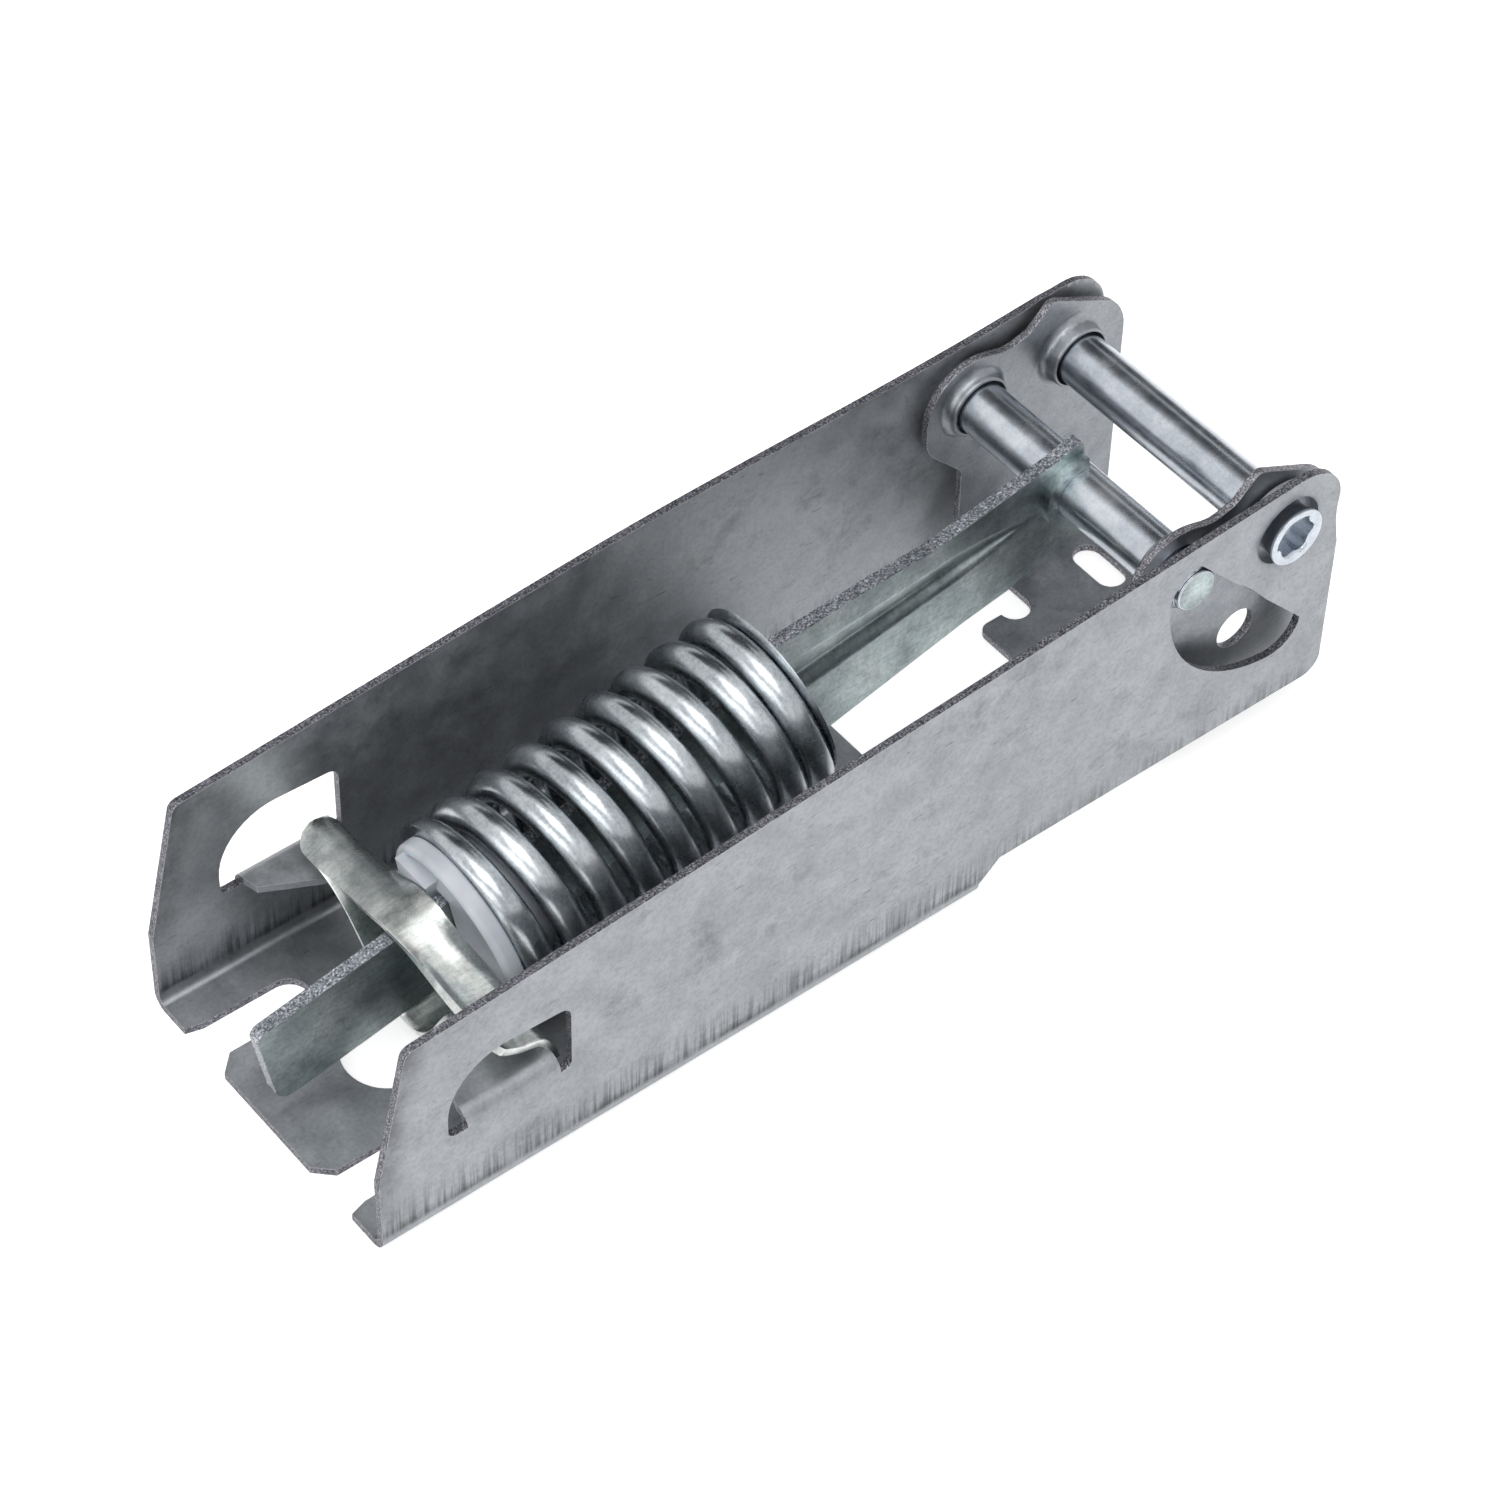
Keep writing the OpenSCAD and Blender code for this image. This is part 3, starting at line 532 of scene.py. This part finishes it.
def makeStrutPin():
    look = strutPinLook
    bm = cadCopy("strut_pin", look)
    drawInFarEnd(bm, pinAt)
    ends = look["endFace"] - leanAt(pinAt.x, pinAt.z)
    markEdges(bm, lambda centre, normal: abs(normal.y) > look["endOn"] and abs(centre.y) > ends)
    breakArrises(bm, look)
    piece = pieceFrom(bm, "strut_pin_steel", [pinZinc, strutZinc])
    evenNormals(piece)
    standFor(piece, "strut_pin", "lid")


makeStrutPin()
print("pins made")

# Strut, with its stiffening rib pressed away from the near wall as a soft groove: it starts near the pin,
# widens and runs under the spring
strutLook = {"arris": 0.16 * mm, "arrisSteps": 2, "sharpAngle": radians(35), "flatAngle": radians(0.6),
             "half": 1 * mm, "ribStart": 8 * mm, "ribEnd": 58 * mm, "ribMiddle": 0.3 * mm,
             "ribClimb": 2.2 * mm, "ribNear": 2 * mm, "ribFar": 4 * mm, "ribPoint": 0.4,
             "pointLength": 13 * mm, "ribDepth": 1.15 * mm, "ribRise": 3 * mm, "deepest": 0.4,
             "flatHalf": 6.2 * mm, "along": 1.5 * mm, "across": 0.3 * mm, "edgeTurn": 0.25, "flatSide": 0.99}
slideAxis = Vector(joints["spring_stretch"]["axis"])     # from the pin towards the seat
strutTilt = atan2(-slideAxis.z, -slideAxis.x)
alongStrut = Matrix.Translation(pinAt) @ Matrix.Rotation(-strutTilt, 4, "Y")


def ribAt(along, height):
    # depth of the groove: it rises softly from its deepest line to the lower side and straight to the upper
    look = strutLook
    if not look["ribStart"] < along < look["ribEnd"]:
        return 0
    share = (along - look["ribStart"]) / (look["ribEnd"] - look["ribStart"])
    grown = smooth(along - look["ribStart"], 0, look["pointLength"])
    grown = look["ribPoint"] + (1 - look["ribPoint"]) * grown
    half = grown * (look["ribNear"] + share * (look["ribFar"] - look["ribNear"]))
    ends = smooth(along, look["ribStart"], look["ribStart"] + look["ribRise"])
    ends *= smooth(look["ribEnd"] - along, 0, look["ribRise"])
    middle = look["ribMiddle"] + share * look["ribClimb"]
    upward = min(max((height - middle + half) / (2 * half), 0), 1)
    profile = min(smooth(upward, 0, look["deepest"]), (1 - upward) / (1 - look["deepest"]))
    return look["ribDepth"] * ends * grown * profile


def makeStrut():
    look = strutLook
    bm = cadCopy("strut", look)
    bmesh.ops.transform(bm, verts=bm.verts, matrix=alongStrut.inverted())
    wide = look["flatHalf"]

    def inRibZone(point):
        return look["ribStart"] < -point.x < look["ribEnd"] and abs(point.z - look["ribMiddle"]) < wide

    for vert in bm.verts:      # the solid's plainer rib is laid flat first
        if inRibZone(vert.co):
            vert.co.y = -look["half"] if vert.co.y < -look["half"] + touching else look["half"]
    bmesh.ops.dissolve_degenerate(bm, dist=touching, edges=bm.edges)
    bmesh.ops.dissolve_limit(bm, angle_limit=look["flatAngle"], verts=bm.verts, edges=bm.edges)
    markEdges(bm, lambda centre, normal: abs(normal.y) < look["edgeTurn"] and abs(centre.y) < look["half"])
    breakArrises(bm, look)

    def isSide(face):
        off = abs(face.calc_center_median().y) - look["half"]
        return abs(face.normal.y) > look["flatSide"] and abs(off) < touching

    steps = int((look["ribEnd"] - look["ribStart"]) / look["along"]) + 1
    cutAcross(bm, isSide, [(-look["ribStart"] - i * look["along"], 0, 0) for i in range(steps)], (1, 0, 0))
    rows = int(2 * wide / look["across"]) + 1
    low = look["ribMiddle"] - wide
    cutAcross(bm, isSide, [(0, 0, low + i * look["across"]) for i in range(rows)], (0, 0, 1))
    for vert in bm.verts:
        if abs(abs(vert.co.y) - look["half"]) < touching:
            vert.co.y += ribAt(-vert.co.x, vert.co.z)
    bmesh.ops.transform(bm, verts=bm.verts, matrix=alongStrut)
    piece = pieceFrom(bm, "strut_bar", [strutZinc, strutEdge])
    evenNormals(piece)
    standFor(piece, "strut", "strut")


makeStrut()
print("strut made")

# Spring: a wire spun round the strut's axis. Its ends are closed and ground flat, so that the last turn
# at the shoulders is a thin crescent; the closed turns there lie almost square over the top.
springLook = {
    "coilRadius": 12.2 * mm, "wireRadius": 2.3 * mm, "near": 52.2 * mm, "length": 51 * mm,
    "turns": 10.1, "closedFirst": 1, "closedLast": 2.1, "closedRise": 4.62 * mm, "firstTip": -1.9 * mm,
    "lastTip": 3.2 * mm, "square": 0.55 * mm, "topTurn": 8.7, "squareBefore": 0.6, "squareAfter": 0.4,
    "stepsPerTurn": 40, "sides": 20, "startTurn": 0.3, "sharpAngle": radians(50)}


def makeSpring():
    look = springLook
    closed = look["closedFirst"] + look["closedLast"]
    openEnd = look["turns"] - look["closedLast"]
    openRise = look["length"] + look["lastTip"] - look["firstTip"] - closed * look["closedRise"]
    openPitch = openRise / (look["turns"] - closed)
    steps = round(look["turns"] * look["stepsPerTurn"])
    turn = 2 * pi * look["turns"] / steps

    def rise(at):
        # how far along the axis the wire has come after this many steps
        t = look["turns"] * at / steps
        shut = min(t, look["closedFirst"]) + max(t - openEnd, 0)
        level = look["square"] * sin(2 * pi * (t - look["topTurn"]))
        level *= smooth(t, openEnd - look["squareBefore"], openEnd + look["squareAfter"])
        return look["firstTip"] + shut * look["closedRise"] + (t - shut) * openPitch - level

    bm = bmesh.new()
    bmesh.ops.create_circle(bm, cap_ends=False, radius=look["wireRadius"], segments=look["sides"])
    start = Matrix.Rotation(2 * pi * look["startTurn"], 4, "X")
    bmesh.ops.transform(bm, verts=bm.verts, matrix=start @ Matrix.Translation((
        rise(0) - look["length"], 0, look["coilRadius"])) @ Matrix.Rotation(pi / 2, 4, "X"))
    ring = bm.verts[:] + bm.edges[:]
    first = [e for e in ring if isinstance(e, bmesh.types.BMEdge)]
    bmesh.ops.contextual_create(bm, geom=first)
    for at in range(steps):
        spun = bmesh.ops.spin(bm, geom=ring, cent=(0, 0, 0), axis=(1, 0, 0), angle=turn, steps=1,
                              dvec=(rise(at + 1) - rise(at), 0, 0), use_duplicate=False)
        ring = [g for g in spun["geom_last"] if not isinstance(g, bmesh.types.BMFace)]
    bmesh.ops.contextual_create(bm, geom=[e for e in ring if isinstance(e, bmesh.types.BMEdge)])
    for at, way in ((-look["length"], -1), (0, 1)):
        bmesh.ops.bisect_plane(bm, geom=bm.verts[:] + bm.edges[:] + bm.faces[:], dist=weld / 2,
                               plane_co=(at, 0, 0), plane_no=(way, 0, 0), clear_outer=True)
        bmesh.ops.holes_fill(bm, edges=[e for e in bm.edges if e.is_boundary], sides=0)
    bmesh.ops.recalc_face_normals(bm, faces=bm.faces)
    for edge in bm.edges:
        edge.smooth = edge.calc_face_angle(0) < look["sharpAngle"]
    bmesh.ops.transform(bm, verts=bm.verts, matrix=alongStrut @ Matrix.Translation((-look["near"], 0, 0)))
    piece = pieceFrom(bm, "spring_wire", [springZinc])
    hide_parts("spring")
    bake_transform(piece)


makeSpring()
print("spring made")

# Spring seat: its flange has a broad round rim, a sunk face and a raised block beside the slot
seatLook = {"arris": 0.25 * mm, "arrisSteps": 3, "sharpAngle": radians(35), "flatAngle": radians(0.6),
            "flange": 12 * mm, "round": 0.9 * mm, "roundSteps": 5, "rimWidth": 2.4 * mm, "sunk": 1.2 * mm,
            "blockLow": (-107.3 * mm, 1.5 * mm, 3.9 * mm), "blockHigh": (-104.8 * mm, 8.2 * mm, 8.8 * mm)}


def makeSeat():
    look = seatLook
    bm = cadCopy("spring_seat", look)
    bmesh.ops.transform(bm, verts=bm.verts, matrix=alongStrut.inverted())
    rim = [e for e in bm.edges if e.calc_face_angle(0) > look["sharpAngle"]
           and all(Vector((v.co.y, v.co.z)).length > look["flange"] for v in e.verts)]
    bmesh.ops.bevel(bm, geom=rim, offset=look["round"], segments=look["roundSteps"], profile=0.5,
                    affect="EDGES", material=-1, clamp_overlap=True)
    endFace = min(v.co.x for v in bm.verts)
    front = [f for f in bm.faces if max(v.co.x for v in f.verts) < endFace + touching]
    bmesh.ops.inset_region(bm, faces=front, thickness=look["rimWidth"], depth=-look["sunk"],
                           use_even_offset=True, use_boundary=True)
    low, high = Vector(look["blockLow"]), Vector(look["blockHigh"])
    block = bmesh.ops.create_cube(bm, size=1)["verts"]
    bmesh.ops.scale(bm, verts=block, vec=high - low)
    bmesh.ops.translate(bm, verts=block, vec=(low + high) / 2)
    breakArrises(bm, look)
    bmesh.ops.transform(bm, verts=bm.verts, matrix=alongStrut)
    piece = pieceFrom(bm, "seat_nylon", [seatNylon])
    evenNormals(piece)
    standFor(piece, "spring_seat", "rocker")


makeSeat()
print("seat made")

# Saddle: an upper strip that spreads into two ears and hooks behind the tabs, and a lower strip that
# passes under the strut
fulcrum = Vector(joints["saddle_rock"]["pos_m"])
saddleLook = {
    "half": 23.3 * mm, "sheet": 1.1 * mm, "width": 10 * mm, "lead": 1.7 * mm, "setback": 1.6 * mm,
    "crest": 1 * mm, "earStart": 18 * mm, "bend": 1.3, "overTop": 7.6 * mm, "underHalf": 17.8 * mm,
    "bandWidth": 7.1 * mm, "widens": 3 * mm, "widened": 16 * mm,
    "underLow": -13.1 * mm, "underCurve": 1.6, "corner": 3.8 * mm, "nearRound": 0.3,
    "upperCells": (40, 96), "lowerCells": (10, 64),
    "arris": 0.2 * mm, "arrisSteps": 3, "sharpAngle": radians(50),
    # underside of each ear, in mm from the fulcrum, from its raised tail to the hook behind the tab
    "farEar": ((-7, 1.9), (-5.9, 2.5), (-4.8, 2.9), (-3.6, 3.1), (-2.4, 2.8), (-1.2, 1.6), (-0.2, -0.6),
               (0.6, -3)),
    "nearEar": ((-8.8, 5.2), (-7.4, 3.8), (-5.9, 2.9), (-4.4, 2.2), (-2.9, 1.8), (-1.4, 1.2), (-0.2, -0.8),
                (0.6, -3.2))}


def onAxis(x, height):
    # a place beside the fulcrum, measured along the strut and square to it
    return Vector((x * cos(strutTilt) - height * sin(strutTilt), 0,
                   x * sin(strutTilt) + height * cos(strutTilt)))


def earAt(y, t):
    # smooth curve through an ear's points, t from 0 at its tail to 1 at its hook
    points = [Vector((x * mm, 0, z * mm)) for x, z in saddleLook["farEar" if y > 0 else "nearEar"]]
    last = len(points) - 1
    i = min(int(t * last), last - 1)
    f = t * last - i
    a, b, c, d = (points[max(min(k, last), 0)] for k in (i - 1, i, i + 1, i + 2))
    return b + f * ((c - a) / 2 + f * (a - 2.5 * b + 2 * c - d / 2 + f * (1.5 * (b - c) + (d - a) / 2)))


def roundedEnd(y, t):
    # the strip narrows at its tips, so that their corners are round, less so at the near one
    look = saddleLook
    into = max(abs(y) - look["half"] + look["corner"], 0)
    cut = (look["corner"] - (look["corner"] ** 2 - into ** 2) ** 0.5) / look["width"]
    if y > 0:
        return cut + (1 - 2 * cut) * t
    cut *= look["nearRound"]
    return cut + (1 - cut) * t


def spread(y, start, end, bend):
    # share of the way from the strut to an ear, nearly straight between two soft bends
    t = min(max((abs(y) - start) / (end - start), 0), 1)
    return t ** bend / (t ** bend + (1 - t) ** bend)


def overAt(y, t):
    # upper strip: over the strut at y 0, an ear at either side; t runs across the strip
    look = saddleLook
    t = roundedEnd(y, t)
    band = onAxis(look["lead"] - look["setback"] - look["bandWidth"] * (1 - t), look["overTop"])
    ear = earAt(y, t)
    place = band.lerp(ear, spread(y, look["crest"], look["earStart"], look["bend"]))
    place.x = band.x + (ear.x - band.x) * smooth(abs(y), look["widens"], look["widened"])
    return place


def underAt(y, t):
    look = saddleLook
    x = look["lead"] - look["width"] * (1 - t)
    share = spread(y, look["crest"], look["earStart"], look["underCurve"])
    return onAxis(x, look["underLow"]).lerp(earAt(y, t), share)


def makeStrip(surface, halfLength, cells):
    look = saddleLook
    bm = bmesh.new()
    bmesh.ops.create_grid(bm, x_segments=cells[0], y_segments=cells[1], size=0.5)
    for vert in bm.verts:
        y = 2 * halfLength * vert.co.y
        vert.co = fulcrum + surface(y, vert.co.x + 0.5) + Vector((0, y, 0))
    bmesh.ops.recalc_face_normals(bm, faces=bm.faces)
    if sum(face.normal.z for face in bm.faces) > 0:
        bmesh.ops.reverse_faces(bm, faces=bm.faces)
    bmesh.ops.solidify(bm, geom=bm.faces[:], thickness=look["sheet"])
    bmesh.ops.recalc_face_normals(bm, faces=bm.faces)
    breakArrises(bm, look)
    return bm


def makeSaddle():
    look = saddleLook
    upper = makeStrip(overAt, look["half"], look["upperCells"])
    lower = makeStrip(underAt, look["underHalf"], look["lowerCells"])
    joined = bpy.data.meshes.new("lowerStrip")
    lower.to_mesh(joined)
    lower.free()
    upper.from_mesh(joined)
    bpy.data.meshes.remove(joined)
    piece = pieceFrom(upper, "saddle_strip", [saddleZinc])
    evenNormals(piece)
    standFor(piece, "saddle", "rocker")


makeSaddle()
print("saddle made")

# Floor, lamps, world and camera
stageLook = {"aim": (0.07, 0, 0.02), "floorSize": 4.0, "floorAt": (0.06, 0, -0.05 * mm),
             "floorFaces": (0.06, 0, 1), "paper": "E8E8E8", "paperGlow": 0.62, "ambient": 0.6,
             "white": "FFFFFF"}


def stagePlane(name, size, place, aim, material):
    bm = bmesh.new()
    bmesh.ops.create_grid(bm, x_segments=1, y_segments=1, size=size / 2)
    turn = (Vector(aim) - Vector(place)).to_track_quat("Z", "Y").to_matrix().to_4x4()
    bmesh.ops.transform(bm, verts=bm.verts, matrix=Matrix.Translation(place) @ turn)
    plane = pieceFrom(bm, name, [material])
    return plane


def whitePaper():
    # white paper sweep: part of its white is its own, so it stays white to the camera and in
    # reflections, and the rest is lit, so it keeps the hinge's shadow
    material, tree = newMaterial("whitePaper")
    paper = addNode(tree, "ShaderNodeBsdfDiffuse", {"Color": linear(stageLook["paper"])})
    ray = addNode(tree, "ShaderNodeLightPath").outputs
    shown = addNode(tree, "ShaderNodeMath", {0: ray["Is Camera Ray"], 1: ray["Is Glossy Ray"]},
                    operation="MAXIMUM")
    level = addNode(tree, "ShaderNodeMath", {0: shown, 1: stageLook["paperGlow"]}, operation="MULTIPLY")
    glow = addNode(tree, "ShaderNodeEmission", {"Color": linear(stageLook["white"]), "Strength": level})
    both = addNode(tree, "ShaderNodeAddShader", {0: paper, 1: glow})
    addNode(tree, "ShaderNodeOutputMaterial", {"Surface": both})
    return material


def darkCard(name, colour):
    material, tree = newMaterial(name)
    shade = addNode(tree, "ShaderNodeEmission", {"Color": linear(colour)})
    addNode(tree, "ShaderNodeOutputMaterial", {"Surface": shade})
    return material


stagePlane("floor", stageLook["floorSize"], stageLook["floorAt"], stageLook["floorFaces"], whitePaper())

# cards seen only in reflections give round wire and bright plate their dark bands
cards = [
    {"size": 0.5, "place": (0.30, 0.45, 0.50), "colour": "2C2F33"},
    {"size": 0.35, "place": (0.62, 0.42, 0.30), "colour": "2C2F33"},
]
for number, card in enumerate(cards):
    panel = stagePlane("card%d" % number, card["size"], card["place"], stageLook["aim"],
                       darkCard("card%d" % number, card["colour"]))
    panel.visible_camera = False
    panel.visible_diffuse = False
    panel.visible_shadow = False
    panel.visible_transmission = False

lamps = [
    {"name": "softboxAbove", "place": (-0.05, -0.12, 0.75), "size": 0.55, "watts": 2.4},
    {"name": "softboxLeft", "place": (-0.75, -0.35, 0.45), "size": 0.5, "watts": 1.2},
    {"name": "softboxEnd", "place": (-0.8, 0.02, 0.32), "size": 0.4, "watts": 0.9},
]
for lamp in lamps:
    light = bpy.data.lights.new(lamp["name"], "AREA")
    light.size = lamp["size"]
    light.energy = lamp["watts"]
    holder = bpy.data.objects.new(lamp["name"], light)
    holder.location = lamp["place"]
    holder.rotation_euler = (Vector(stageLook["aim"]) - holder.location).to_track_quat("-Z", "Y").to_euler()
    bpy.context.scene.collection.objects.link(holder)


def makeWorld():
    world = bpy.data.worlds.new("studio")
    bpy.context.scene.world = world
    world.use_nodes = True
    tree = world.node_tree
    tree.nodes.clear()
    ray = addNode(tree, "ShaderNodeLightPath").outputs
    shown = ray["Is Camera Ray"]
    for kind in ("Is Glossy Ray", "Is Transmission Ray"):
        shown = addNode(tree, "ShaderNodeMath", {0: shown, 1: ray[kind]}, operation="MAXIMUM")
    level = addNode(tree, "ShaderNodeMapRange", {"Value": shown, "To Min": stageLook["ambient"]})
    back = addNode(tree, "ShaderNodeBackground", {"Color": linear(stageLook["white"]), "Strength": level})
    addNode(tree, "ShaderNodeOutputWorld", {"Surface": back})


makeWorld()

# the photograph's view, worked out from the housing's straight edges
view = {"azimuth": -39.511, "elevation": 47.544, "roll": 1.608, "lens": 114.13, "sensor": 36,
        "place": (-213.13 * mm, -331.04 * mm, 488.51 * mm), "nearest": 10 * mm}


def makeCamera():
    azimuth, elevation, roll = (radians(view[k]) for k in ("azimuth", "elevation", "roll"))
    back = Vector((sin(azimuth) * cos(elevation), -cos(azimuth) * cos(elevation), sin(elevation)))
    right = Vector((0, 0, 1)).cross(back).normalized()
    up = back.cross(right)
    turned = right * cos(roll) + up * sin(roll), up * cos(roll) - right * sin(roll), back
    data = bpy.data.cameras.new("photoView")
    data.lens = view["lens"]
    data.sensor_width = view["sensor"]
    data.clip_start = view["nearest"]
    camera = bpy.data.objects.new("photoView", data)
    camera.matrix_world = Matrix.Translation(view["place"]) @ Matrix(turned).transposed().to_4x4()
    bpy.context.scene.collection.objects.link(camera)
    bpy.context.scene.camera = camera


makeCamera()
bpy.context.scene.view_settings.view_transform = "Standard"
print("stage made")
